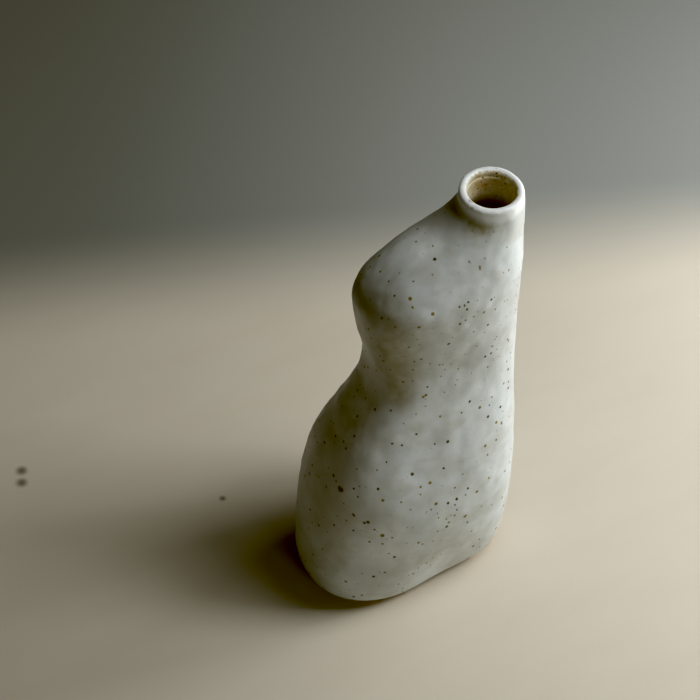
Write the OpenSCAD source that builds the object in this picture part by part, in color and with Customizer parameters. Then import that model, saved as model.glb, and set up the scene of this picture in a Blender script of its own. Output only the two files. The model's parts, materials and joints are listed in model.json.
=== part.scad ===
// Hand-built stoneware bottle vase.
//
// A slab base carries four courses of clay wall, a neck collar and a rolled
// lip. A pale coat of glaze covers the outside down to the bare foot, and a
// clear liner covers the inside. Every section up the vase is a soft-cornered
// oval between a left edge, a right edge and a half depth, so the courses and
// the coats of glaze share their faces exactly.
//
// Lengths are in millimetres, +Z is up, -Y is the broad front, and the narrow
// end with the mouth over it is on +X. The origin is the middle of the foot's
// level, under the middle of the whole vase.

/* [Overall] */
// Height from the foot to the middle of the rim
height = 210; // [202:1:240]
// Thickness of the clay wall, square to its surface
wall = 5; // [3.5:0.25:6]
// Thickness of the slab under the vase
base_thickness = 7; // [6:0.5:10]

/* [Foot and belly] */
// Left edge of the foot, before its corner is rounded under
foot_left = -57; // [-62:0.5:-50]
// Right edge of the foot, before its corner is rounded under
foot_right = 43.5; // [38:0.5:48]
// Depth of the foot from front to back
foot_depth = 70; // [60:1:76]
// How far the edge of the foot tucks in under the belly
foot_tuck = 5.5; // [2:0.5:8]
// Height over which the foot tucks in
foot_round = 17; // [12:1:20]
// Depth of the thumb hollow in the front of the foot
thumb_hollow = 4.5; // [0:0.5:5]
// Height of the belly, where the vase is deepest
belly_z = 65; // [52:1:68]
// Left edge of the belly
belly_left = -47.5; // [-54:0.5:-42]
// Right edge of the belly
belly_right = 45.5; // [40:0.5:48]
// Depth of the belly from front to back
belly_depth = 80; // [66:1:86]

/* [Waist and shoulder] */
// Height of the waist, where the left side is squeezed in
waist_z = 122.5; // [116:1:128]
// Left edge of the waist
waist_left = -22; // [-28:0.5:-16]
// Right edge of the waist
waist_right = 47; // [42:0.5:48]
// Depth of the waist from front to back
waist_depth = 45; // [42:1:54]
// Height of the widest part of the shoulder
shoulder_z = 169.5; // [166:1:174]
// Left edge of the shoulder
shoulder_left = -25.5; // [-30:0.5:-20]
// Right edge of the shoulder
shoulder_right = 47.5; // [45:0.5:50]
// Depth of the shoulder from front to back
shoulder_depth = 52; // [46:1:58]
// Left edge of the roof, halfway from the shoulder in to the neck
roof_left = -9.5; // [-13:0.5:-8]
// Depth of the roof from front to back
roof_depth = 41.5; // [38:1:46]
// How far a thumb pressed in the left of the front, above the waist
waist_scoop = 2; // [0:0.5:6]

/* [Neck and mouth] */
// Radius of the neck over the glaze
neck_r = 14; // [13.5:0.25:15.5]
// Radius of the bore down the neck
bore_r = 10.5; // [9:0.25:10.75]
// Distance of the mouth's centre from the datum of the side edges
mouth_x = 35.5; // [34:0.5:37]
// Tilt of the rim down towards the right
tilt_right = 2.5; // [0:0.5:5]
// Tilt of the rim down towards the front
tilt_front = 2.5; // [0:0.5:5]
// Height of the rolled lip
lip_height = 4; // [3:0.5:5]

/* [Glaze] */
// Thickness of the pale outer coat
glaze = 0.5; // [0.4:0.05:0.8]
// Thickness of the clear liner
liner = 0.4; // [0.3:0.05:0.6]
// Height of the line where the outer coat stops above the foot
glaze_line = 4; // [3:0.5:5]

/* [Hidden] */

clay_color = [0.62, 0.50, 0.34];
glaze_color = [0.76, 0.78, 0.74];
liner_color = [0.50, 0.44, 0.26];

// Points round each section, and the usual gap between two sections
sides = 40;
ring_gap = 6.5;

// Squareness of the sections: 2 is a plain oval, more is nearer a rectangle
square_foot = 2.4;
square_belly_left = 2.6;
square_waist_left = 3.1;
square_shoulder_left = 2.9;
square_right = 2.3;
square_neck = 2;

// How much a section narrows from its right end to its left end
narrow_belly = 0.05;
narrow_waist = 0.1;
narrow_shoulder = 0.12;
narrow_roof = 0.05;

// The roof closes in from the shoulder to the crown, where it meets the neck
roof_z = height - 26;
crown_z = height - 21;
crown_left = mouth_x - 32;
crown_right = mouth_x + neck_r;
crown_depth = 2 * neck_r + 7.5;
roof_right = shoulder_right + 1;
neck_z = height - 7.5;

// Facets round the bore
bore_facets = 64;

// Where one piece of clay ends and the next begins
belly_top = 76;
waist_top = 140;
shoulder_top = 178;
crown_top = height - 12;
lip_z = height - lip_height;

// The lip opens this much wider than the bore
lip_ease = 0.25;

// The sections start to tilt this far below the rim
tilt_span = 40;

// Thumb marks in the front: middle from the left, middle height, half width, half height
THUMB_AT_FOOT = [2, 10, 22, 26];
THUMB_AT_WAIST = [-14, 143, 11, 22];

// Stations up the vase: height, left edge, right edge, half depth, squareness
// of the left half and of the right half, narrowing
STATIONS = [
    [0, foot_left, foot_right, foot_depth / 2, square_foot, square_foot, 0],
    [
        belly_z, belly_left, belly_right, belly_depth / 2,
        square_belly_left, square_right, narrow_belly
    ],
    [
        waist_z, waist_left, waist_right, waist_depth / 2,
        square_waist_left, square_right, narrow_waist
    ],
    [
        shoulder_z, shoulder_left, shoulder_right, shoulder_depth / 2,
        square_shoulder_left, square_right, narrow_shoulder
    ],
    [roof_z, roof_left, roof_right, roof_depth / 2, square_right, square_right, narrow_roof],
    [crown_z, crown_left, crown_right, crown_depth / 2, square_neck, square_neck, 0],
    [neck_z, mouth_x - neck_r, mouth_x + neck_r, neck_r, square_neck, square_neck, 0],
    [height, mouth_x - neck_r, mouth_x + neck_r, neck_r, square_neck, square_neck, 0]
];
LEFT = 1;
RIGHT = 2;
DEPTH = 3;
SQUARE_LEFT = 4;
SQUARE_RIGHT = 5;
NARROW = 6;

// Rise per millimetre of one column of the table at station i
function station_slope(column, i) =
    let (
        low = STATIONS[max(i - 1, 0)],
        high = STATIONS[min(i + 1, len(STATIONS) - 1)]
    )
    (high[column] - low[column]) / (high[0] - low[0]);

// Number of the last station at or below z
function station_below(z) =
    max([for (i = [0:len(STATIONS) - 2]) STATIONS[i][0] <= z ? i : 0]);

// A column of the table at height z, as a smooth cubic through the stations
function outline(column, z) =
    let (
        i = station_below(z),
        low = STATIONS[i],
        high = STATIONS[i + 1],
        span = high[0] - low[0],
        t = (z - low[0]) / span,
        ease = t * t * (3 - 2 * t)
    )
    low[column] * (1 - ease) + high[column] * ease
    + span * t * (1 - t) * ((1 - t) * station_slope(column, i)
        - t * station_slope(column, i + 1));

// How much wider a coat must be, measured level, where the side slopes
function slant(column, z) =
    let (rise = outline(column, min(z + 1, height)) - outline(column, max(z - 1, 0)))
    sqrt(1 + pow(rise / 2, 2));

// Inset of the foot's rounded edge at height z
function foot_inset(z) =
    z < foot_round ? foot_tuck * (1 - sqrt(1 - pow(1 - z / foot_round, 2))) : 0;

// Share of a thumb mark's depth that reaches a place, from 1 at its middle to 0
function thumb(mark, x, z) =
    exp(-pow((x - mark[0]) / mark[2], 2) - pow((z - mark[1]) / mark[3], 2));

// Distance that the thumb marks push back a point of the front, where front is
// 1 on the broad front, 0 at the ends and less behind
function hollow(x, z, front) =
    front <= 0 ? 0 : thumb_hollow * thumb(THUMB_AT_FOOT, x, z)
        + waist_scoop * front * thumb(THUMB_AT_WAIST, x, z);

// How far a point of the section at height z drops, as the rim tilts
function tilt_drop(x, y, z) =
    let (share = pow(max(z - height + tilt_span, 0) / tilt_span, 2))
    share * ((x - mouth_x) * tan(tilt_right) - y * tan(tilt_front));

// One level section: a soft-cornered oval between the given edges, with the
// squareness of its left and right halves
function section(left, right, depth, squareness, narrow, z) = [
    for (i = [0:sides - 1])
    let (
        a = 360 * i / sides,
        square = squareness[cos(a) < 0 ? 0 : 1],
        reach = pow(pow(abs(cos(a)), square) + pow(abs(sin(a)), square), -1 / square),
        x = (left + right) / 2 + (right - left) / 2 * cos(a) * reach,
        y = depth * sin(a) * reach * (1 - narrow * (1 - cos(a)) / 2)
    )
    [x, y + hollow(x, z, -sin(a)), z - tilt_drop(x, y, z)]
];

// The section at height z, set in from the glazed outside by a coat
function skin(z, coat = 0) =
    let (inset = foot_inset(z))
    section(
        outline(LEFT, z) + coat * slant(LEFT, z) + inset,
        outline(RIGHT, z) - coat * slant(RIGHT, z) - inset,
        outline(DEPTH, z) - coat * slant(DEPTH, z) - inset,
        [outline(SQUARE_LEFT, z), outline(SQUARE_RIGHT, z)],
        outline(NARROW, z),
        z
    );

// Blend from one value to another as share runs smoothly from 0 to 1
function blend(from, to, share) = from + (to - from) * share * share * (3 - 2 * share);

// The inside of the clay at height z, which closes in to the bore at the top
function inside(z, coat = 0) =
    let (
        deep = glaze + wall + coat,
        inset = foot_inset(z),
        r = bore_r + liner - coat,
        share = max(z - shoulder_top, 0) / (crown_top - shoulder_top)
    )
    section(
        blend(outline(LEFT, z) + deep * slant(LEFT, z) + inset, mouth_x - r, share),
        blend(outline(RIGHT, z) - deep * slant(RIGHT, z) - inset, mouth_x + r, share),
        blend(outline(DEPTH, z) - deep * slant(DEPTH, z) - inset, r, share),
        [
            blend(outline(SQUARE_LEFT, z), square_neck, share),
            blend(outline(SQUARE_RIGHT, z), square_neck, share)
        ],
        blend(outline(NARROW, z), 0, share),
        z
    );

// One ring of the rolled lip, at an angle round its half-oval bead
function bead(angle, coat = 0) =
    let (
        outer_r = neck_r - glaze,
        inner_r = bore_r + lip_ease,
        middle = (outer_r + inner_r) / 2,
        half = (outer_r - inner_r) / 2,
        r = middle + (half + coat) * cos(angle)
    )
    section(mouth_x - r, mouth_x + r, r, [square_neck, square_neck], 0,
        lip_z + (lip_height - glaze + coat) * sin(angle));

// Evenly spaced heights from low to high
function levels(low, high, gap = ring_gap) =
    let (steps = ceil((high - low) / gap))
    [for (i = [0:steps]) low + (high - low) * i / steps];

// A list in reverse order, and a list without its first item
function reversed(list) = [for (i = [len(list) - 1:-1:0]) list[i]];
function rest(list) = [for (i = [1:len(list) - 1]) list[i]];

slab_levels = concat([0, 1.5, glaze_line], [base_thickness]);
belly_levels = concat(levels(base_thickness, foot_round, 3), rest(levels(foot_round, belly_top)));
waist_levels = levels(belly_top, waist_top);
shoulder_levels = levels(waist_top, shoulder_top);
crown_levels = levels(shoulder_top, crown_top, 4);
collar_levels = levels(crown_top, lip_z, 4);
body_levels = concat(belly_levels, rest(waist_levels), rest(shoulder_levels), rest(crown_levels));

// The middle of the vase in plan, which the origin stands under
outside_x = [for (z = concat(body_levels, collar_levels)) for (p = skin(z)) p.x];
centre_x = (min(outside_x) + max(outside_x)) / 2;

// Two triangles between one pair of points on ring k and the same on the next
// ring. The cut always runs up to the right, so touching solids share it.
function patch(rings, k, next, i) =
    let (
        j = (i + 1) % sides,
        a = k * sides + i,
        b = k * sides + j,
        c = next * sides + j,
        d = next * sides + i
    )
    rings[next][0].z >= rings[k][0].z
        ? [[a, c, b], [a, d, c]]
        : [[a, d, b], [b, d, c]];

// Side triangles from each ring to the next, and back to the first if closed
function sleeve(rings, closed) = [
    for (k = [0:len(rings) - (closed ? 1 : 2)])
    for (i = [0:sides - 1])
    each patch(rings, k, (k + 1) % len(rings), i)
];

// A solid whose skin passes through a list of rings, with flat ends
module loft(rings) {
    last = (len(rings) - 1) * sides;
    ends = [
        [for (i = [0:sides - 1]) i],
        [for (i = [sides - 1:-1:0]) last + i]
    ];
    translate([-centre_x, 0, 0])
        polyhedron([for (ring = rings) each ring], concat(sleeve(rings, false), ends), 8);
}

// A hoop whose skin passes through a closed loop of rings
module hoop(rings) {
    translate([-centre_x, 0, 0])
        polyhedron([for (ring = rings) each ring], sleeve(rings, true), 8);
}

// One course of the wall, from its outside up to its inside down
module course(heights) {
    color(clay_color)
        hoop(concat(
            [for (z = heights) skin(z, glaze)],
            [for (z = reversed(heights)) inside(z)]
        ));
}

// Flat slab that the vase stands on, bare on its foot
module base_slab() {
    color(clay_color)
        loft([for (z = slab_levels) skin(z, glaze)]);
}

// Swelling lower course
module belly_wall() {
    course(belly_levels);
}

// Course that is squeezed in on the left
module waist_wall() {
    course(waist_levels);
}

// Course that swells back out over the waist
module shoulder_wall() {
    course(shoulder_levels);
}

// Course that closes the roof in to the neck
module crown_wall() {
    course(crown_levels);
}

// Short thick collar with the round bore of the neck
module neck_collar() {
    color(clay_color)
        difference() {
            loft([for (z = collar_levels) skin(z, glaze)]);
            translate([mouth_x - centre_x, 0, shoulder_top])
                cylinder(h = height - shoulder_top, r = bore_r, $fn = bore_facets);
        }
}

// Rolled coil that finishes the rim
module rolled_lip() {
    color(clay_color)
        hoop([for (angle = [0:20:180]) bead(angle)]);
}

// Pale coat from above the foot, over the lip and just inside the mouth
module outer_glaze() {
    heights = concat(
        [for (z = slab_levels) if (z >= glaze_line) z],
        rest(body_levels),
        rest(collar_levels)
    );
    lip_angles = [20:20:140];
    color(glaze_color)
        hoop(concat(
            [for (z = heights) skin(z)],
            [for (angle = lip_angles) bead(angle, glaze)],
            reversed([for (angle = lip_angles) bead(angle)]),
            reversed([for (z = heights) skin(z, glaze)])
        ));
}

// Clear coat that seals the inside, from the slab up to the neck
module liner_glaze() {
    color(liner_color)
        loft(concat(
            [for (z = body_levels) inside(z)],
            reversed([for (z = rest(body_levels)) inside(z, liner)]),
            [inside(base_thickness + liner, liner)]
        ));
}

base_slab();
belly_wall();
waist_wall();
shoulder_wall();
crown_wall();
neck_collar();
rolled_lip();
outer_glaze();
liner_glaze();
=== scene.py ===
"""Hand-built stoneware bottle vase: its glaze, clay, liner and a small studio round it.

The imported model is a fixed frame. Each piece is started from a ring or a face, sized with
probes on that frame, and shaped by hand tools. Lengths are in metres.
"""

import json
import math

import bpy
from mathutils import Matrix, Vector


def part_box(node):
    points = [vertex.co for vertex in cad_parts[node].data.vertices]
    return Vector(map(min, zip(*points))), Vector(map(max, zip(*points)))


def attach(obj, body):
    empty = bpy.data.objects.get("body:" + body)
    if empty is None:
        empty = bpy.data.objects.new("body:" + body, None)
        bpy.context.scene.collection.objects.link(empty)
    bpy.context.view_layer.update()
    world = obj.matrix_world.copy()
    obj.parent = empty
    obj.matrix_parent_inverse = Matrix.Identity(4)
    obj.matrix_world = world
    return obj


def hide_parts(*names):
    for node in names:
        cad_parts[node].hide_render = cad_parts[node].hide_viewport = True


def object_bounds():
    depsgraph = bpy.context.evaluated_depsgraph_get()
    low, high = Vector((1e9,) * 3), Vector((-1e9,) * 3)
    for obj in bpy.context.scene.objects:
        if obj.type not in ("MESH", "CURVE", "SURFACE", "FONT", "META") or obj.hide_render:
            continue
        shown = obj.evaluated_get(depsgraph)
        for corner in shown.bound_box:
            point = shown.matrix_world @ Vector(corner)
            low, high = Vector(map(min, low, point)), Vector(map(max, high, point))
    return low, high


bl_info = {
    "name": "Stoneware Bottle Vase",
    "version": (1, 0, 0),
    "blender": (4, 5, 0),
    "location": "3D View > Sidebar > Vase",
    "description": "Models a hand-built stoneware vase and its studio around a packed frame",
    "category": "Object",
}

MM = 0.001

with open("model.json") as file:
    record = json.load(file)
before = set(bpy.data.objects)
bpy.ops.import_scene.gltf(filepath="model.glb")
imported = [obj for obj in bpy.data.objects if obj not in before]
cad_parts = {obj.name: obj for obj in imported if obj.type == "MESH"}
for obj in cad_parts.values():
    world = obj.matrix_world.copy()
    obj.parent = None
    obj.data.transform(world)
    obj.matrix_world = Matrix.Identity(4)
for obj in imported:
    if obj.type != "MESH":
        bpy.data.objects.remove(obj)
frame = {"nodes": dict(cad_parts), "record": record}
CAD_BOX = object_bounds()
MOUTH = next(m for m in frame["record"]["mounts"] if m["name"] == "mouth")
MOUTH_X, MOUTH_Y = MOUTH["pos_m"][:2]
BORE_R = MOUTH["dims"]["r_mm"] * MM
VASE_TOP = CAD_BOX[1].z


# --- Settings -------------------------------------------------------------


def length(name, description, default):
    """A length setting, in metres."""
    return bpy.props.FloatProperty(
        name=name, description=description, default=default, unit="LENGTH", precision=5
    )


def colour(name, description, default):
    """A linear colour setting."""
    return bpy.props.FloatVectorProperty(
        name=name, description=description, default=default, subtype="COLOR", size=3,
        min=0, max=1,
    )


class VaseShape(bpy.types.PropertyGroup):
    """Sizes that the maker's hand gives, on top of the frame's own."""

    ring_gap: length("Ring Gap", "Height between two rings of the body's cage", 0.006)
    roof_gap: length("Roof Gap", "Height between two rings where the roof closes in", 0.0035)
    glaze_skin: length("Glaze Thickness", "Thickness of the pale coat", 0.00045)
    plump: length(
        "Plumpness", "How far the coat's cage stands off, to make up for rounding", 0.0003
    )
    press_depth: length("Press Depth", "Depth of the broad marks of the maker's hands", 0.0020)
    press_size: length("Press Size", "Width of the broad marks of the maker's hands", 0.030)
    finger_depth: length("Finger Depth", "Depth of the small finger marks", 0.0008)
    finger_size: length("Finger Size", "Width of the small finger marks", 0.010)
    sole_hollow: length("Sole Hollow", "How far the middle of the sole is hollowed", 0.0008)
    sides: bpy.props.IntProperty(
        name="Sides", description="Points round each ring of a cage", default=48, min=16, max=96
    )


class VaseColours(bpy.types.PropertyGroup):
    """Colours of the glazes and the clay, and of the light and shade painted on them."""

    glaze: colour("Glaze", "The pale satin glaze where it is thick", (0.61, 0.665, 0.665))
    glaze_mid: colour(
        "Middle Glaze", "The same glaze at its usual thickness", (0.50, 0.535, 0.525)
    )
    glaze_thin: colour("Thin Glaze", "The same glaze where clay warms it", (0.34, 0.33, 0.26))
    # Lip Glaze is the white glaze gathered on the lip, and also the colour of the painted light on
    # the lip's top, the roof and the belly
    lip_glaze_and_light: colour("Lip Glaze", "The same glaze where it gathers on the lip", (0.86, 0.90, 0.88))
    speck_dark: colour("Dark Specks", "Iron specks that melted through", (0.020, 0.013, 0.006))
    speck_olive: colour("Olive Specks", "Iron specks under the glaze", (0.17, 0.13, 0.02))
    clay: colour("Clay", "Bare toasted clay", (0.36, 0.24, 0.12))
    clay_dark: colour("Dark Clay", "Clay toasted darker at edges", (0.20, 0.115, 0.05))
    liner: colour("Liner", "Clear liner over golden clay", (0.45, 0.265, 0.075))
    # Pale Liner is the milky liner mingled in at random, and also the painted light on the inner
    # wall left of the mouth
    liner_pale_and_lit: colour("Pale Liner", "Liner where it pooled milky", (0.84, 0.80, 0.60))
    # Painted shade: the liner painted dark further down the hollow
    liner_painted_depth: colour("Deep Liner", "Liner down in the hollow", (0.045, 0.012, 0.003))
    # Painted shade: olive brown painted into the crook of the neck and down the scooped waist,
    # partly the colour of thin glaze
    hollow_shade: colour(
        "Scoop", "Olive brown of the glaze where the waist is scooped", (0.15, 0.125, 0.035)
    )


class StudioSettings(bpy.types.PropertyGroup):
    """The floor, the light and the camera."""

    floor: colour("Floor", "Pale floor near the vase", (0.71, 0.66, 0.55))
    # Painted shade: the far floor is painted a darker cool grey
    floor_far_shade: colour("Far Floor", "Cool grey of the floor far behind", (0.28, 0.30, 0.29))
    knot: colour("Knot", "Dark knots in the floor's wood", (0.05, 0.05, 0.055))
    shade: colour("Shade", "Colour of the light that fills the shadows", (0.40, 0.34, 0.20))
    deep_tones: colour(
        "Deep Tones", "Taken off the darkest tones, to warm them", (0.0, 0.006, 0.024)
    )
    window_power: bpy.props.FloatProperty(
        name="Window Power", description="Power of all the soft lights together",
        default=8.8, unit="POWER",
    )
    view_azimuth: bpy.props.FloatProperty(
        name="View Azimuth", description="Turn of the view from the front",
        default=math.radians(-28.4), unit="ROTATION",
    )
    view_elevation: bpy.props.FloatProperty(
        name="View Elevation", description="Height of the view over the floor",
        default=math.radians(46.8), unit="ROTATION",
    )
    view_distance: length("View Distance", "From the camera to the vase's middle", 1.165)
    lens: bpy.props.FloatProperty(
        name="Lens", description="Focal length on a 36 mm sensor, in mm", default=133.7
    )


# --- Probes on the frame --------------------------------------------------


def touch(node, start, direction):
    """The first point that a straight probe touches on a CAD node."""
    hit, point, _, _ = frame["nodes"][node].ray_cast(Vector(start), Vector(direction))
    if not hit:
        raise RuntimeError(f"a probe from {start} towards {direction} missed {node}")
    return point


REACH = 0.3  # every outside probe starts this far out


def outside_at(z, node="outer_glaze"):
    """Middle and half sizes of the vase's outside at height z, felt from four sides."""
    left = touch(node, (-REACH, 0, z), (1, 0, 0)).x
    right = touch(node, (REACH, 0, z), (-1, 0, 0)).x
    middle = (left + right) / 2
    front = touch(node, (middle, -REACH, z), (0, 1, 0)).y
    back = touch(node, (middle, REACH, z), (0, -1, 0)).y
    return Vector((middle, (front + back) / 2, z)), (right - left) / 2, (back - front) / 2


def inside_at(z):
    """Middle and half sizes of the hollow at height z, felt from within."""
    node = "liner_glaze"
    start = (MOUTH_X - 0.5 * BORE_R, 0, z)
    left = touch(node, start, (-1, 0, 0)).x
    right = touch(node, start, (1, 0, 0)).x
    middle = (left + right) / 2
    front = touch(node, (middle, 0, z), (0, -1, 0)).y
    back = touch(node, (middle, 0, z), (0, 1, 0)).y
    return Vector((middle, (front + back) / 2, z)), (right - left) / 2, (back - front) / 2


def rim_slopes():
    """Rise of the rim along X and along Y, and the height of its middle."""
    r = (BORE_R + (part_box("rolled_lip")[1].x - MOUTH_X)) / 2
    heights = [
        touch("outer_glaze", (MOUTH_X + x, MOUTH_Y + y, REACH), (0, 0, -1)).z
        for x, y in ((r, 0), (-r, 0), (0, r), (0, -r))
    ]
    return (
        (heights[0] - heights[1]) / (2 * r),
        (heights[2] - heights[3]) / (2 * r),
        sum(heights) / 4,
    )


# --- Hand tools -----------------------------------------------------------


def deselect():
    """Leaves object mode with nothing selected."""
    if bpy.context.object and bpy.context.object.mode != "OBJECT":
        bpy.ops.object.mode_set(mode="OBJECT")
    bpy.ops.object.select_all(action="DESELECT")


def take(piece):
    """Selects one piece alone and makes it active."""
    deselect()
    piece.select_set(True)
    bpy.context.view_layer.objects.active = piece


def finish_modifiers(piece):
    """Applies every modifier of a piece, in order."""
    take(piece)
    for modifier in list(piece.modifiers):
        bpy.ops.object.modifier_apply(modifier=modifier.name)


def raise_rings(name, rings, sides):
    """A tube of rings, each pulled out of the last one. A ring is (middle, half x, half y)."""
    deselect()
    middle, half_x, half_y = rings[0]
    bpy.ops.mesh.primitive_circle_add(vertices=sides, radius=1, location=(0, 0, 0))
    piece = bpy.context.object
    piece.name = name
    piece.data.name = name
    bpy.ops.object.mode_set(mode="EDIT")
    bpy.ops.mesh.select_all(action="SELECT")
    bpy.ops.transform.resize(value=(half_x, half_y, 1), center_override=(0, 0, 0))
    bpy.ops.transform.translate(value=middle)
    for previous, ring in zip(rings, rings[1:]):
        bpy.ops.mesh.extrude_edges_move(
            TRANSFORM_OT_translate={"value": ring[0] - previous[0]}
        )
        bpy.ops.transform.resize(
            value=(ring[1] / previous[1], ring[2] / previous[2], 1), center_override=ring[0]
        )
    bpy.ops.object.mode_set(mode="OBJECT")
    return piece


def pick_points(piece, wanted):
    """Selects the points of a piece whose place is wanted, and stays in edit mode."""
    take(piece)
    bpy.context.tool_settings.mesh_select_mode = (True, False, False)
    bpy.ops.object.mode_set(mode="EDIT")
    bpy.ops.mesh.select_all(action="DESELECT")
    bpy.ops.object.mode_set(mode="OBJECT")
    picked = [vertex for vertex in piece.data.vertices if wanted(vertex.co)]
    for vertex in picked:
        vertex.select = True
    middle = sum((vertex.co for vertex in picked), Vector()) / len(picked)
    bpy.ops.object.mode_set(mode="EDIT")
    return middle


def close_ring(middle, shares, rises=None):
    """Draws the picked ring in to its middle in steps, then fills what is left."""
    for share, rise in zip(shares, rises or [0] * len(shares)):
        bpy.ops.mesh.extrude_edges_move(TRANSFORM_OT_translate={"value": (0, 0, rise)})
        bpy.ops.transform.resize(value=(share, share, 1), center_override=middle)
    bpy.ops.mesh.edge_face_add()
    bpy.ops.object.mode_set(mode="OBJECT")


def draw_on(piece, node, stand_off=0.0):
    """Draws a loose cage on to the surface of a CAD node."""
    wrap = piece.modifiers.new("Draw on", "SHRINKWRAP")
    wrap.target = frame["nodes"][node]
    wrap.wrap_method = "NEAREST_SURFACEPOINT"
    wrap.offset = stand_off
    finish_modifiers(piece)


def round_off(piece, levels):
    """Rounds a cage by subdivision."""
    rounding = piece.modifiers.new("Round", "SUBSURF")
    rounding.levels = levels
    rounding.render_levels = levels
    finish_modifiers(piece)


def thicken(piece, thickness, offset):
    """Gives a skin its thickness, inwards for an offset of -1 and outwards for 1."""
    skin = piece.modifiers.new("Thickness", "SOLIDIFY")
    skin.thickness = thickness
    skin.offset = offset
    finish_modifiers(piece)


def tilt_with_rim(middle):
    """Tilts the picked ring as the rim tilts."""
    slope_x, slope_y, _ = rim_slopes()
    bpy.ops.transform.rotate(value=math.atan(slope_x), orient_axis="Y", center_override=middle)
    bpy.ops.transform.rotate(value=-math.atan(slope_y), orient_axis="X", center_override=middle)


def face_outwards(piece, inwards=False):
    """Turns every face outwards, or inwards for the lining of a hollow."""
    take(piece)
    bpy.ops.object.mode_set(mode="EDIT")
    bpy.ops.mesh.select_all(action="SELECT")
    bpy.ops.mesh.remove_doubles(threshold=1e-6)
    bpy.ops.mesh.normals_make_consistent(inside=inwards)
    bpy.ops.object.mode_set(mode="OBJECT")
    widest = max(piece.data.polygons, key=lambda face: face.center.x)
    if (widest.normal.x > 0) == inwards:
        piece.data.flip_normals()


def weigh(piece, group_name, weight_at):
    """A vertex group whose weight at each point is weight_at(point)."""
    group = piece.vertex_groups.new(name=group_name)
    for vertex in piece.data.vertices:
        group.add([vertex.index], weight_at(vertex.co), "REPLACE")
    return group.name


def clouds(name, size, depth=2):
    """A soft procedural texture with marks of about the given size."""
    texture = bpy.data.textures.new(name, "CLOUDS")
    texture.noise_scale = size
    texture.noise_depth = depth
    texture.noise_basis = "ORIGINAL_PERLIN"
    return texture


def press(piece, name, depth, size, group, level):
    """Presses soft marks into a piece along its normals."""
    modifier = piece.modifiers.new(name, "DISPLACE")
    modifier.texture = clouds(name, size)
    modifier.texture_coords = "LOCAL"
    modifier.strength = depth
    modifier.mid_level = level
    modifier.vertex_group = group


def smooth(piece):
    """Smooth shading all over a piece."""
    take(piece)
    bpy.ops.object.shade_smooth()


def settle(piece, material, slot, *nodes):
    """Finishes a piece: its material and the CAD nodes it stands for. The slot is not used."""
    piece.data.materials.clear()
    piece.data.materials.append(material)
    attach(piece, "root")
    if nodes:
        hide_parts(*nodes)


def steps(low, high, gap):
    """Even heights from low to high, both included, at most gap apart."""
    count = math.ceil((high - low) / gap)
    return [low + (high - low) * i / count for i in range(count + 1)]


def ease(share):
    """A share from 0 to 1, smoothed at both ends."""
    share = min(max(share, 0.0), 1.0)
    return share * share * (3 - 2 * share)


# --- Materials ------------------------------------------------------------


class Nodes:
    """Places and joins shader nodes in one tree."""

    def __init__(self, tree):
        self.tree = tree
        self.column = 0

    def add(self, kind, **settings):
        node = self.tree.nodes.new(kind)
        node.location = (self.column, 0)
        self.column += 180
        inputs = settings.pop("inputs", {})
        for key, value in settings.items():
            setattr(node, key, value)
        for key, value in inputs.items():
            self.feed(value, node.inputs[key])
        return node

    def feed(self, value, socket):
        """Joins an output to a socket, or sets the socket's own value."""
        if isinstance(value, bpy.types.NodeSocket):
            self.tree.links.new(value, socket)
        elif hasattr(value, "__len__") and len(value) == 3 and len(socket.default_value) == 4:
            socket.default_value = (*value, 1)
        else:
            socket.default_value = value

    def math(self, operation, a, b):
        node = self.add("ShaderNodeMath", operation=operation)
        self.feed(a, node.inputs[0])
        self.feed(b, node.inputs[1])
        return node.outputs[0]

    def mix(self, factor, a, b):
        node = self.add("ShaderNodeMix", data_type="RGBA")
        self.feed(factor, node.inputs[0])
        self.feed(a, node.inputs[6])
        self.feed(b, node.inputs[7])
        return node.outputs[2]

    def step(self, value, low, high, to_low=0.0, to_high=1.0):
        node = self.add("ShaderNodeMapRange", interpolation_type="SMOOTHSTEP")
        for key, number in zip(
            ("Value", "From Min", "From Max", "To Min", "To Max"),
            (value, low, high, to_low, to_high),
        ):
            self.feed(number, node.inputs[key])
        return node.outputs["Result"]

    def noise(self, place, scale, detail=3.0, roughness=0.5):
        node = self.add(
            "ShaderNodeTexNoise",
            inputs={"Vector": place, "Scale": scale, "Detail": detail, "Roughness": roughness},
        )
        return node.outputs["Fac"]


def new_group(name, inputs, outputs):
    """An empty shader node group with named sockets, and its node placer."""
    tree = bpy.data.node_groups.new(name, "ShaderNodeTree")
    for label, kind, default in inputs:
        socket = tree.interface.new_socket(name=label, in_out="INPUT", socket_type=kind)
        if default is not None:
            socket.default_value = default
    for label, kind in outputs:
        tree.interface.new_socket(name=label, in_out="OUTPUT", socket_type=kind)
    nodes = Nodes(tree)
    source = nodes.add("NodeGroupInput")
    target = nodes.add("NodeGroupOutput")
    return nodes, source, target


VECTOR, FLOAT, COLOUR = "NodeSocketVector", "NodeSocketFloat", "NodeSocketColor"


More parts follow.
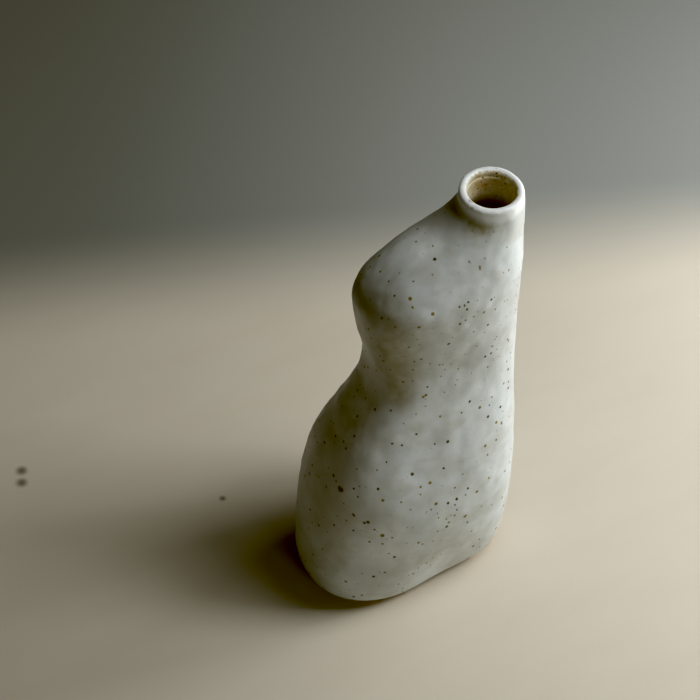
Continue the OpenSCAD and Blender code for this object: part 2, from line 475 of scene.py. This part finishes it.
def specks_group():
    """Scattered grains of iron: a mask with soft edges and a random tone for each grain."""
    nodes, source, target = new_group(
        "Iron specks",
        [("Place", VECTOR, None), ("Per Metre", FLOAT, 200.0), ("Radius", FLOAT, 0.12),
         ("Share", FLOAT, 0.5), ("Edge", FLOAT, 0.4)],
        [("Mask", FLOAT), ("Tone", FLOAT)],
    )
    wobble = nodes.add(
        "ShaderNodeTexNoise",
        inputs={"Vector": source.outputs["Place"], "Scale": 1400.0, "Detail": 1.0},
    )
    shift = nodes.add("ShaderNodeVectorMath", operation="SCALE", inputs={"Scale": 0.0004})
    nodes.feed(wobble.outputs["Color"], shift.inputs[0])
    place = nodes.add("ShaderNodeVectorMath", operation="ADD")
    nodes.feed(source.outputs["Place"], place.inputs[0])
    nodes.feed(shift.outputs[0], place.inputs[1])
    cells = nodes.add(
        "ShaderNodeTexVoronoi",
        inputs={"Vector": place.outputs[0], "Scale": source.outputs["Per Metre"]},
    )
    parts = nodes.add("ShaderNodeSeparateColor", inputs={"Color": cells.outputs["Color"]})
    size = nodes.math("MULTIPLY", source.outputs["Radius"],
                      nodes.step(parts.outputs[0], 0.0, 1.0, 0.5, 1.3))
    soft = nodes.math("MULTIPLY", size, nodes.math("SUBTRACT", 1.0, source.outputs["Edge"]))
    spot = nodes.step(cells.outputs["Distance"], size, soft)
    there = nodes.math("LESS_THAN", parts.outputs[1], source.outputs["Share"])
    nodes.feed(nodes.math("MULTIPLY", spot, there), target.inputs["Mask"])
    nodes.feed(parts.outputs[2], target.inputs["Tone"])
    return nodes.tree


def spot_group():
    """One soft-edged spot of a given size round a given place."""
    nodes, source, target = new_group(
        "Spot",
        [("Place", VECTOR, None), ("Centre", VECTOR, None), ("Radius", FLOAT, 0.001),
         ("Core", FLOAT, 0.6)],
        [("Mask", FLOAT)],
    )
    apart = nodes.add("ShaderNodeVectorMath", operation="DISTANCE")
    nodes.feed(source.outputs["Place"], apart.inputs[0])
    nodes.feed(source.outputs["Centre"], apart.inputs[1])
    core = nodes.math("MULTIPLY", source.outputs["Radius"], source.outputs["Core"])
    mask = nodes.step(apart.outputs["Value"], source.outputs["Radius"], core)
    nodes.feed(mask, target.inputs["Mask"])
    return nodes.tree


def mottle_group():
    """Uneven thickness of a dipped glaze: broad clouds, smaller ones and a fine grain."""
    nodes, source, target = new_group(
        "Glaze mottle",
        [("Place", VECTOR, None), ("Broad", FLOAT, 28.0), ("Fine", FLOAT, 160.0)],
        [("Tone", FLOAT), ("Fine Tone", FLOAT), ("Height", FLOAT)],
    )
    broad = nodes.noise(source.outputs["Place"], source.outputs["Broad"], 3.0, 0.55)
    fine = nodes.noise(source.outputs["Place"], source.outputs["Fine"], 4.0, 0.6)
    grain = nodes.noise(source.outputs["Place"], 1100.0, 2.0, 0.5)
    nodes.feed(nodes.step(broad, 0.32, 0.68), target.inputs["Tone"])
    nodes.feed(nodes.step(fine, 0.28, 0.72), target.inputs["Fine Tone"])
    height = nodes.math(
        "ADD", nodes.math("MULTIPLY", fine, 0.65), nodes.math("MULTIPLY", grain, 0.35)
    )
    nodes.feed(height, target.inputs["Height"])
    return nodes.tree


def seeded_clay_group(specks, mottle):
    """Clay of two mingled colours, full of dark grains."""
    nodes, source, target = new_group(
        "Seeded clay",
        [("Place", VECTOR, None), ("Clay", COLOUR, None), ("Second Clay", COLOUR, None),
         ("Grain", COLOUR, None), ("Broad", FLOAT, 60.0), ("Fine", FLOAT, 450.0),
         ("Per Metre", FLOAT, 600.0), ("Radius", FLOAT, 0.2), ("Share", FLOAT, 0.6)],
        [("Color", COLOUR), ("Fine Tone", FLOAT), ("Height", FLOAT)],
    )
    given = source.outputs
    tone = use(nodes, mottle, Place=given["Place"], Broad=given["Broad"], Fine=given["Fine"])
    mingled = nodes.math(
        "ADD", nodes.math("MULTIPLY", tone["Tone"], 0.6),
        nodes.math("MULTIPLY", tone["Fine Tone"], 0.4),
    )
    clay = nodes.mix(mingled, given["Clay"], given["Second Clay"])
    grains = use(nodes, specks, Place=given["Place"], Per_Metre=given["Per Metre"],
                 Radius=given["Radius"], Share=given["Share"], Edge=0.4)
    dark = nodes.math("MULTIPLY", grains["Mask"], nodes.step(grains["Tone"], 0.0, 1.0, 0.5, 0.95))
    nodes.feed(nodes.mix(dark, clay, given["Grain"]), target.inputs["Color"])
    nodes.feed(tone["Fine Tone"], target.inputs["Fine Tone"])
    nodes.feed(nodes.math("SUBTRACT", tone["Height"], dark), target.inputs["Height"])
    return nodes.tree


def use(nodes, tree, **inputs):
    """Places a node group and feeds its inputs, with _ for spaces in their names."""
    node = nodes.add("ShaderNodeGroup", node_tree=tree)
    for key, value in inputs.items():
        nodes.feed(value, node.inputs[key.replace("_", " ")])
    return node.outputs


def start_material(name):
    """A material with one Principled BSDF, its node placer and the object coordinates."""
    material = bpy.data.materials.new(name)
    material.use_nodes = True
    nodes = Nodes(material.node_tree)
    shader = material.node_tree.nodes["Principled BSDF"]
    place = nodes.add("ShaderNodeTexCoord").outputs["Object"]
    return material, nodes, shader, place


def bump(nodes, height, distance, strength):
    """A bump normal from a height."""
    node = nodes.add(
        "ShaderNodeBump", inputs={"Height": height, "Distance": distance, "Strength": strength}
    )
    return node.outputs["Normal"]


# Where the wall was pushed out from within: X and Z on the front, reach and height, all in mm
SWELLINGS = (((-33, 82), 30, 2.6), ((-37, 50), 30, 1.2))
OUT = Vector((-0.7, -0.7, 0))  # the way that the front left of the belly faces
MARKS_RISE = 0.0003  # how far the marks of the hands raise the skin on average
# Painted shade in the hollows, olive brown like thin glaze, and painted light where the lights
# reach too little: place and radius in mm, least and most strength
PAINTED_SHADE_PATCHES = (
    ((27, -9, 203), 12, 0.40, 0.85),  # the crook between the roof and the neck
    ((-17, -14, 169), 17, 0.35, 0.55),  # down the scooped waist
    ((-17, -13, 153), 18, 0.45, 0.65),
    ((-15, -14, 138), 17, 0.45, 0.65),
    ((-14, -15, 124), 12, 0.35, 0.60),
)
# Painted light: pale patches where the lights reach the roof and the belly too little
PAINTED_LIGHT_PATCHES = (
    ((7, 4, 190), 16, 0.50, 0.95),  # on the roof
    ((-30, -8, 95), 24, 0.50, 0.95),  # along the top of the belly
    ((-12, -22, 107), 14, 0.15, 0.50),
    ((-33, -20, 78), 16, 0.30, 0.70),  # down the left of the belly
    ((-33, -28, 50), 22, 0.30, 0.70),
)
# Grains that show alone: X and Z of its place on the front, radius in mm, olive share
LONE_GRAINS = (
    ((-40, 74.5), 2.2, 0.0),
    ((-39.5, 75), 2.0, 0.0),
    ((-35, 81), 0.9, 0.1),
    ((-39, 66), 1.0, 0.1),
    ((22.5, 187.5), 1.0, 1.0),
    ((12.5, 173.5), 0.8, 0.3),
    ((-17, 115), 1.1, 0.1),
    ((-5.5, 119), 0.9, 0.2),
    ((-3.5, 116.5), 1.0, 0.0),
    ((-35, 64.5), 1.1, 0.0),
    ((-30.5, 57), 1.2, 0.8),
    ((-6.5, 69.5), 1.1, 0.9),
    ((8.5, 53.5), 1.1, 0.9),
    ((-14.5, 87), 1.0, 0.1),
    ((14.5, 92), 0.9, 0.9),
)


def on_front(place):
    """The point of the frame's skin that lies behind a place given as X and Z in mm."""
    return touch("outer_glaze", (place[0] * MM, -REACH, place[1] * MM), (0, 1, 0))


def on_coat(place):
    """The same point on the coat, which the swellings push out towards the front left."""
    point = on_front(place)
    rise = MARKS_RISE
    for middle, reach, height in SWELLINGS:
        rise += height * MM * ease(1 - (point - on_front(middle)).length / (reach * MM))
    return point + OUT * rise


def inside_clay(nodes, colours, groups, place):
    """Clear liner over golden clay, with painted light on the left of the mouth and painted shade
    down in the hollow.
    """
    parts = nodes.add("ShaderNodeSeparateXYZ", inputs={"Vector": place})
    clay = use(nodes, groups["seeded"], Place=place, Clay=colours.liner,
               Second_Clay=colours.liner_pale_and_lit, Grain=colours.speck_dark, Per_Metre=520.0,
               Radius=0.29, Share=0.7)
    # Painted light: the inner wall left of the mouth, which faces the lights, turns pale
    pale = nodes.step(parts.outputs["X"], MOUTH_X + 0.001, MOUTH_X - 0.8 * BORE_R)
    pale = nodes.math("MULTIPLY", pale, nodes.step(clay["Height"], -0.4, 0.2))
    tone = nodes.mix(pale, clay["Color"], colours.liner_pale_and_lit)
    # Painted shade: the liner darkens to red brown further down the hollow
    painted_depth_mask = nodes.step(parts.outputs["Z"], VASE_TOP - 0.010, VASE_TOP - 0.019)
    return nodes.mix(painted_depth_mask, tone, colours.liner_painted_depth), clay["Height"], clay["Fine Tone"]


def glaze_material(colours, groups):
    """Pale satin glaze with iron specks, worn through to golden clay inside the rim, with light and
    shade painted on it.
    """
    material, nodes, shader, place = start_material("pale satin glaze")
    tone = use(nodes, groups["mottle"], Place=place, Broad=42.0, Fine=130.0)
    streaks = nodes.add("ShaderNodeMapping", inputs={"Vector": place, "Scale": (0.8, 0.8, 1.7)})
    level = use(nodes, groups["mottle"], Place=streaks.outputs[0], Broad=38.0, Fine=210.0)
    base = nodes.mix(tone["Tone"], colours.glaze, colours.glaze_mid)
    thin = nodes.math("MULTIPLY", nodes.step(level["Tone"], 0.55, 1.0), 0.30)
    base = nodes.mix(thin, base, colours.glaze_thin)
    base = nodes.mix(nodes.math("MULTIPLY", tone["Fine Tone"], 0.14), base, colours.glaze_thin)

    # Painted light patches in the lip glaze's white, and painted shade patches in olive brown
    for patches, ink in ((PAINTED_LIGHT_PATCHES, colours.lip_glaze_and_light), (PAINTED_SHADE_PATCHES, colours.hollow_shade)):
        for centre, radius, low, full in patches:
            patch = use(nodes, groups["spot"], Place=place, Centre=Vector(centre) * MM,
                        Radius=radius * MM, Core=0.15)
            uneven = nodes.step(tone["Fine Tone"], 0.0, 1.0, low, full)
            base = nodes.mix(nodes.math("MULTIPLY", patch["Mask"], uneven), base, ink)

    parts = nodes.add("ShaderNodeSeparateXYZ", inputs={"Vector": place})
    # The white glaze gathered on the lip, widened down the top of the neck as painted light
    high = nodes.step(parts.outputs["Z"], VASE_TOP - 0.009, VASE_TOP - 0.0045)
    base = nodes.mix(high, base, colours.lip_glaze_and_light)

    sparse = nodes.step(parts.outputs["Z"], VASE_TOP - 0.022, VASE_TOP - 0.008, 1.0, 0.25)
    masks = []
    for per_metre, radius, share, edge, strength in (
        (520.0, 0.18, 0.22, 0.7, 0.50),
        (270.0, 0.20, 0.70, 0.45, 1.0),
        (120.0, 0.10, 0.60, 0.35, 1.0),
    ):
        grains = use(nodes, groups["specks"], Place=place, Per_Metre=per_metre, Radius=radius,
                     Share=share, Edge=edge)
        ink = nodes.mix(
            nodes.step(grains["Tone"], 0.45, 0.6), colours.speck_dark, colours.speck_olive
        )
        mask = nodes.math("MULTIPLY", grains["Mask"], nodes.math("MULTIPLY", sparse, strength))
        base = nodes.mix(mask, base, ink)
        masks.append(mask)
    spots = nodes.math("MAXIMUM", masks[1], masks[2])
    for centre, radius, olive in LONE_GRAINS:
        grain = use(nodes, groups["spot"], Place=place, Centre=on_coat(centre),
                    Radius=radius * MM, Core=0.65)
        ink = tuple(
            dark + (pale - dark) * olive
            for dark, pale in zip(colours.speck_dark, colours.speck_olive)
        )
        base = nodes.mix(grain["Mask"], base, ink)
        spots = nodes.math("MAXIMUM", spots, grain["Mask"])

    axis = nodes.add("ShaderNodeCombineXYZ", inputs={"X": MOUTH_X, "Y": MOUTH_Y})
    nodes.feed(parts.outputs["Z"], axis.inputs["Z"])
    ragged = nodes.math("MULTIPLY", nodes.noise(place, 420.0, 4.0, 0.65), 0.0036)
    out = nodes.add("ShaderNodeVectorMath", operation="DISTANCE")
    nodes.feed(place, out.inputs[0])
    nodes.feed(axis.outputs[0], out.inputs[1])
    out = nodes.math("ADD", out.outputs["Value"], ragged)
    worn = nodes.step(out, BORE_R + 0.0025, BORE_R + 0.0019)
    base = nodes.mix(worn, base, inside_clay(nodes, colours, groups, place)[0])

    nodes.feed(base, shader.inputs["Base Color"])
    rough = nodes.step(tone["Fine Tone"], 0.0, 1.0, 0.38, 0.5)
    rough = nodes.math("ADD", rough, nodes.math("MULTIPLY", spots, 0.15))
    rough = nodes.math("ADD", rough, nodes.math("MULTIPLY", worn, 0.2))
    nodes.feed(rough, shader.inputs["Roughness"])
    height = nodes.math("SUBTRACT", tone["Height"], nodes.math("MULTIPLY", spots, 0.45))
    height = nodes.math("SUBTRACT", height, nodes.math("MULTIPLY", worn, 0.6))
    nodes.feed(bump(nodes, height, 0.00025, 0.5), shader.inputs["Normal"])
    shader.inputs["Coat Weight"].default_value = 0.12
    shader.inputs["Coat Roughness"].default_value = 0.22
    return material


def clay_material(colours, groups):
    """Bare toasted stoneware with dark grains and an open, gritty surface."""
    material, nodes, shader, place = start_material("bare toasted clay")
    clay = use(nodes, groups["seeded"], Place=place, Clay=colours.clay,
               Second_Clay=colours.clay_dark, Grain=colours.speck_dark, Broad=45.0,
               Per_Metre=500.0)
    nodes.feed(clay["Color"], shader.inputs["Base Color"])
    nodes.feed(nodes.step(clay["Fine Tone"], 0.0, 1.0, 0.75, 0.95), shader.inputs["Roughness"])
    nodes.feed(bump(nodes, clay["Height"], 0.0004, 0.7), shader.inputs["Normal"])
    return material


def liner_material(colours, groups):
    """Thin clear glaze over golden clay, full of fine black grains, with painted light on the left
    of the mouth and painted shade down in the hollow.
    """
    material, nodes, shader, place = start_material("clear liner over clay")
    base, height, fine = inside_clay(nodes, colours, groups, place)
    nodes.feed(base, shader.inputs["Base Color"])
    nodes.feed(nodes.step(fine, 0.0, 1.0, 0.4, 0.6), shader.inputs["Roughness"])
    nodes.feed(bump(nodes, height, 0.0003, 0.6), shader.inputs["Normal"])
    return material


FINISHES = ("pale satin glaze", "bare toasted clay", "clear liner over clay")


def materials():
    """The three finishes, made once and shared."""
    made = {m.name: m for m in bpy.data.materials if "vase_finish" in m}
    if not made:
        colours = bpy.context.scene.vase_colours
        groups = {"specks": specks_group(), "spot": spot_group(), "mottle": mottle_group()}
        groups["seeded"] = seeded_clay_group(groups["specks"], groups["mottle"])
        for make in (glaze_material, clay_material, liner_material):
            finish = make(colours, groups)
            finish["vase_finish"] = True
            made[finish.name] = finish
    return [made[name] for name in FINISHES]


# --- The pieces -----------------------------------------------------------


FOOT_CURVE = 0.022  # the foot curves in below this height
LOOSE = 1.25  # how many times wider the coat's cage is than the frame, before it is drawn on
SNUG = 1.1  # the same for the foot's cage
LIP_ANGLES = (10, 35, 60, 85, 110, 135, 160, 180)  # degrees over the lip, from its outer side
LIP_TUCK = 0.0002  # how far the lip's inner edge stands inside the bore
LIP_MARK_DEPTH = 0.0007  # the small uneven marks along the lip
LIP_MARK_SIZE = 0.006
LINER_SKIN = 0.0003  # thickness of the liner
LINER_DROP = 0.0014  # how far below the lip's roll the liner ends
FOOT_RINGS = (0.0012, 0.0022, 0.0035, 0.005)  # heights of the rings up the foot's edge


class VASE_OT_pale_coat(bpy.types.Operator):
    """Model the pale outer glaze, from above the foot over the lip and into the mouth"""

    bl_idname = "vase.pale_coat"
    bl_label = "Pale Glaze Coat"

    def execute(self, context):
        shape = context.scene.vase_shape
        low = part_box("outer_glaze")[0].z
        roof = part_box("crown_wall")[0].z
        lip_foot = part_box("rolled_lip")[0].z
        heights = steps(low + 0.0002, FOOT_CURVE, shape.roof_gap)
        heights += steps(FOOT_CURVE, roof, shape.ring_gap)[1:]
        heights += steps(roof, lip_foot, shape.roof_gap)[1:]
        rings = [outside_at(z) for z in heights]
        coat = raise_rings(
            "pale_glaze_coat", [(m, x * LOOSE, y * LOOSE) for m, x, y in rings], shape.sides
        )
        draw_on(coat, "outer_glaze", shape.plump)
        self.roll_lip(coat, shape, lip_foot)
        face_outwards(coat)
        round_off(coat, 2)
        self.leave_hand_marks(coat, shape, lip_foot)
        thicken(coat, shape.glaze_skin, -1)
        smooth(coat)
        settle(coat, materials()[0], "pale_glaze", "outer_glaze")
        return {"FINISHED"}

    def roll_lip(self, coat, shape, lip_foot):
        """Carries the top ring over the rim in a half round, to its inner edge."""
        here = pick_points(coat, lambda p: p.z > lip_foot - 0.001)
        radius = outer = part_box("rolled_lip")[1].x - MOUTH_X + shape.glaze_skin
        inner = BORE_R - LIP_TUCK
        half, middle_r = (outer - inner) / 2, (outer + inner) / 2
        rim = rim_slopes()[2]
        stops = [
            (middle_r + half * math.cos(a), rim - half * (1 - math.sin(a)))
            for a in map(math.radians, LIP_ANGLES)
        ]
        stops += [(inner, rim - half - 0.0015), (BORE_R, rim - half - 0.006)]
        for index, (r, z) in enumerate(stops):
            goal = Vector((MOUTH_X, MOUTH_Y, z))
            bpy.ops.mesh.extrude_edges_move(TRANSFORM_OT_translate={"value": goal - here})
            bpy.ops.transform.resize(value=(r / radius, r / radius, 1), center_override=goal)
            if index == 0:
                tilt_with_rim(goal)
            here, radius = goal, r
        bpy.ops.object.mode_set(mode="OBJECT")

    def leave_hand_marks(self, coat, shape, lip_foot):
        """Presses the soft uneven marks of the maker's hands into the body."""
        body = weigh(
            coat, "body",
            lambda p: ease((lip_foot + 0.002 - p.z) / 0.02) * ease((p.z - 0.004) / 0.02),
        )
        outside = weigh(
            coat, "outside",
            lambda p: ease((p.z - 0.003) / 0.02)
            * ease((math.hypot(p.x - MOUTH_X, p.y - MOUTH_Y) - BORE_R) / 0.0015),
        )
        press(coat, "Hand marks", shape.press_depth, shape.press_size, body, 0.33)
        press(coat, "Finger marks", shape.finger_depth, shape.finger_size, body, 0.38)
        press(coat, "Lip marks", LIP_MARK_DEPTH, LIP_MARK_SIZE, outside, 0.45)
        finish_modifiers(coat)
        for place, reach, height in SWELLINGS:
            middle = on_front(place)
            near = weigh(
                coat, "swelling",
                lambda p: ease(1 - (p - middle).length / (reach * MM)) * ease((p.z - 0.004) / 0.01),
            )
            swell = coat.modifiers.new("Swelling", "DISPLACE")
            swell.vertex_group = near
            swell.mid_level = 0
            swell.strength = height * MM
            finish_modifiers(coat)
            coat.vertex_groups.remove(coat.vertex_groups[near])


class VASE_OT_liner_coat(bpy.types.Operator):
    """Model the lining of the hollow, from the floor of the vase up the neck"""

    bl_idname = "vase.liner_coat"
    bl_label = "Liner Coat"

    def execute(self, context):
        shape = context.scene.vase_shape
        low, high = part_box("liner_glaze")
        rings = [inside_at(z) for z in steps(low.z + 0.0006, high.z - 0.002, shape.ring_gap)]
        roll = (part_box("rolled_lip")[1].x - MOUTH_X - BORE_R) / 2
        top = rim_slopes()[2] - roll - LINER_DROP
        for z in steps(high.z, top, 0.003):
            rings.append((Vector((MOUTH_X, MOUTH_Y, z)), BORE_R - 0.00005, BORE_R - 0.00005))
        liner = raise_rings("clear_liner_coat", rings, shape.sides)
        middle = pick_points(liner, lambda p: p.z > top - 0.0005)
        tilt_with_rim(middle)
        bpy.ops.object.mode_set(mode="OBJECT")
        middle = pick_points(liner, lambda p: p.z < low.z + 0.001)
        close_ring(middle, (0.85, 0.6, 0.4, 0.3))
        face_outwards(liner)
        round_off(liner, 1)
        thicken(liner, LINER_SKIN, 1)
        smooth(liner)
        settle(liner, materials()[2], "clear_liner", "liner_glaze")
        return {"FINISHED"}


class VASE_OT_bare_foot(bpy.types.Operator):
    """Model the slab with its bare rounded foot"""

    bl_idname = "vase.bare_foot"
    bl_label = "Bare Foot"

    def execute(self, context):
        shape = context.scene.vase_shape
        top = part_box("base_slab")[1].z
        rings = [outside_at(z, "base_slab") for z in (*FOOT_RINGS, top - 0.0002)]
        foot = raise_rings(
            "bare_foot", [(m, x * SNUG, y * SNUG) for m, x, y in rings], shape.sides
        )
        draw_on(foot, "base_slab")
        middle = pick_points(foot, lambda p: p.z > top - 0.001)
        close_ring(middle, (0.94, 0.6, 0.5, 0.4))
        middle = pick_points(foot, lambda p: p.z < 0.0016)
        middle.z = 0
        bpy.ops.mesh.extrude_edges_move(TRANSFORM_OT_translate={"value": (0, 0, 0)})
        bpy.ops.transform.resize(value=(0.96, 0.96, 0), center_override=middle)
        lift = shape.sole_hollow
        close_ring(middle, (0.93, 0.85, 0.6, 0.4), (0, 0.5 * lift, 0.5 * lift, 0))
        face_outwards(foot)
        round_off(foot, 2)
        smooth(foot)
        settle(foot, materials()[1], "bare_clay", "base_slab")
        return {"FINISHED"}


class VASE_OT_clay_body(bpy.types.Operator):
    """Give the courses of clay, the collar and the lip their bare clay finish"""

    bl_idname = "vase.clay_body"
    bl_label = "Clay Body"

    def execute(self, context):
        for name in ("belly_wall", "waist_wall", "shoulder_wall", "crown_wall",
                     "neck_collar", "rolled_lip"):
            node = frame["nodes"][name]
            node.data.materials.clear()
            node.data.materials.append(materials()[1])
        return {"FINISHED"}


# --- The studio -----------------------------------------------------------


KNOTS = (  # place on the floor and size of each knot, in metres
    ((-0.143, 0.125, 0), 0.0042),
    ((-0.146, 0.118, 0), 0.0042),
    ((-0.065, 0.063, 0), 0.0025),
)


FLOOR_SIDE = 8
FLOOR_CLOUD = (0.55, 0.47, 0.36)  # warm clouds in the wood
FLOOR_GRAIN = (0.50, 0.43, 0.32)  # the wood's grain
# Painted shade: the far floor painted darker still on the left
FLOOR_FAR_SHADE_LEFT = (0.09, 0.105, 0.10)  # the far floor on the left
FILL_STRENGTH = 0.01  # strength of the light that fills the shadows
VIEW_ASIDE, VIEW_BELOW = 0.02438, 0.01989  # the vase's offsets from the view's middle, per metre
VIEW_HEIGHT = 0.095  # height of the point on the vase that the view is set by


def floor_material(studio):
    """Pale wooden floor with painted shade: it turns a darker cool grey far behind the vase, darker
    still on the left.
    """
    spot = bpy.data.node_groups.get("Spot") or spot_group()
    material, nodes, shader, place = start_material("studio floor")
    parts = nodes.add("ShaderNodeSeparateXYZ", inputs={"Vector": place})
    azimuth = studio.view_azimuth
    away = nodes.math(
        "ADD",
        nodes.math("MULTIPLY", parts.outputs["X"], -math.sin(azimuth)),
        nodes.math("MULTIPLY", parts.outputs["Y"], math.cos(azimuth)),
    )
    aside = nodes.math(
        "ADD",
        nodes.math("MULTIPLY", parts.outputs["X"], math.cos(azimuth)),
        nodes.math("MULTIPLY", parts.outputs["Y"], math.sin(azimuth)),
    )
    # Painted shade far behind the vase, darker towards the left
    edge = nodes.math("SUBTRACT", away, nodes.math("MULTIPLY", aside, 0.14))
    far = nodes.step(edge, 0.148, 0.235)
    cloud = nodes.noise(place, 9.0, 4.0)
    base = nodes.mix(nodes.step(cloud, 0.3, 0.7, 0.0, 0.10), studio.floor, FLOOR_CLOUD)
    grain = nodes.add("ShaderNodeMapping", inputs={"Vector": place, "Scale": (0.25, 1.0, 1.0)})
    grain = nodes.noise(grain.outputs[0], 60.0, 4.0)
    base = nodes.mix(nodes.step(grain, 0.35, 0.75, 0.0, 0.07), base, FLOOR_GRAIN)
    far_shade_colour = nodes.mix(nodes.step(aside, -0.20, 0.06, 0.55, 0.0), studio.floor_far_shade, FLOOR_FAR_SHADE_LEFT)
    base = nodes.mix(far, base, far_shade_colour)
    for centre, radius in KNOTS:
        knot = use(nodes, spot, Place=place, Centre=Vector(centre), Radius=radius, Core=0.1)
        base = nodes.mix(nodes.math("MULTIPLY", knot["Mask"], 0.8), base, studio.knot)
    nodes.feed(base, shader.inputs["Base Color"])
    shader.inputs["Roughness"].default_value = 0.6
    nodes.feed(bump(nodes, nodes.noise(place, 500.0, 3.0), 0.0001, 0.3), shader.inputs["Normal"])
    return material


LIT = Vector((0, 0, 0.08))  # the point that every soft light faces
WINDOW = (  # name, bearing from +X and height in degrees, distance and side in m, share
    ("low window", -8, 7, 0.6, 0.18, 0.30),
    ("far low window", 12, 16, 0.6, 0.18, 0.055),
    ("high window", -28, 65, 0.6, 0.18, 0.115),
    ("wide window", -28, 45, 1.2, 0.30, 0.495),
    ("front card", -88, 7, 0.6, 0.18, 0.035),
)


def soft_light(name, at, towards, size, power):
    """A square soft light at a place, turned to shine on a point."""
    data = bpy.data.lights.new(name, "AREA")
    data.shape = "SQUARE"
    data.size = size
    data.energy = power
    light = bpy.data.objects.new(name, data)
    bpy.context.scene.collection.objects.link(light)
    light.location = at
    light.rotation_mode = "QUATERNION"
    light.rotation_quaternion = (Vector(towards) - Vector(at)).to_track_quat("-Z", "Y")
    return light


class VASE_OT_studio(bpy.types.Operator):
    """Set the pale floor, the soft light and the camera"""

    bl_idname = "vase.studio"
    bl_label = "Studio"

    def execute(self, context):
        studio = context.scene.vase_studio
        deselect()
        bpy.ops.mesh.primitive_plane_add(size=FLOOR_SIDE, location=(0, 0, 0))
        floor = context.object
        floor.name = "studio_floor"
        floor.data.materials.append(floor_material(studio))
        for name, bearing, height, distance, size, share in WINDOW:
            turn, tip = math.radians(bearing), math.radians(height)
            towards = Vector(
                (math.cos(turn) * math.cos(tip), math.sin(turn) * math.cos(tip), math.sin(tip))
            )
            soft_light(name, LIT + towards * distance, LIT, size, studio.window_power * share)
        world = bpy.data.worlds.new("studio air")
        context.scene.world = world
        world.use_nodes = True
        air = world.node_tree.nodes["Background"]
        air.inputs["Color"].default_value = (*studio.shade, 1)
        air.inputs["Strength"].default_value = FILL_STRENGTH
        view = context.scene.view_settings
        view.view_transform = "Standard"
        view.use_curve_mapping = True
        view.curve_mapping.black_level = studio.deep_tones
        view.curve_mapping.update()
        self.place_camera(context, studio)
        return {"FINISHED"}

    def place_camera(self, context, studio):
        data = bpy.data.cameras.new("studio camera")
        data.lens = studio.lens
        data.sensor_width = 36
        camera = bpy.data.objects.new("studio camera", data)
        context.scene.collection.objects.link(camera)
        turn, tip = studio.view_azimuth, studio.view_elevation
        back = Vector(
            (math.sin(turn) * math.cos(tip), -math.cos(turn) * math.cos(tip), math.sin(tip))
        )
        right = Vector((math.cos(turn), math.sin(turn), 0))
        up = back.cross(right)
        # The vase stands to the right of the view's middle and a little below it
        sight = (right * VIEW_ASIDE - up * VIEW_BELOW - back).normalized()
        middle = Vector((MOUTH_X - 0.0355, 0, VIEW_HEIGHT))
        camera.location = middle - sight * studio.view_distance
        camera.rotation_mode = "QUATERNION"
        camera.rotation_quaternion = (-back).to_track_quat("-Z", "Y")
        context.scene.camera = camera


class VASE_PT_panel(bpy.types.Panel):
    """Lists the vase's settings and steps"""

    bl_label = "Stoneware Vase"
    bl_idname = "VASE_PT_panel"
    bl_space_type = "VIEW_3D"
    bl_region_type = "UI"
    bl_category = "Vase"

    def draw(self, context):
        layout = self.layout
        for settings in (
            context.scene.vase_shape, context.scene.vase_colours, context.scene.vase_studio,
        ):
            box = layout.box()
            for name in settings.__annotations__:
                box.prop(settings, name)
        for step in STEPS:
            layout.operator(step.bl_idname)


STEPS = (
    VASE_OT_clay_body, VASE_OT_bare_foot, VASE_OT_liner_coat, VASE_OT_pale_coat, VASE_OT_studio,
)
CLASSES = (VaseShape, VaseColours, StudioSettings, *STEPS, VASE_PT_panel)


def register():
    for cls in CLASSES:
        bpy.utils.register_class(cls)
    bpy.types.Scene.vase_shape = bpy.props.PointerProperty(type=VaseShape)
    bpy.types.Scene.vase_colours = bpy.props.PointerProperty(type=VaseColours)
    bpy.types.Scene.vase_studio = bpy.props.PointerProperty(type=StudioSettings)


def unregister():
    del bpy.types.Scene.vase_studio
    del bpy.types.Scene.vase_colours
    del bpy.types.Scene.vase_shape
    for cls in reversed(CLASSES):
        bpy.utils.unregister_class(cls)


def main():
    register()
    bpy.ops.vase.clay_body()
    bpy.ops.vase.bare_foot()
    bpy.ops.vase.liner_coat()
    bpy.ops.vase.pale_coat()
    bpy.ops.vase.studio()
    deselect()


if __name__ == "__main__":
    main()
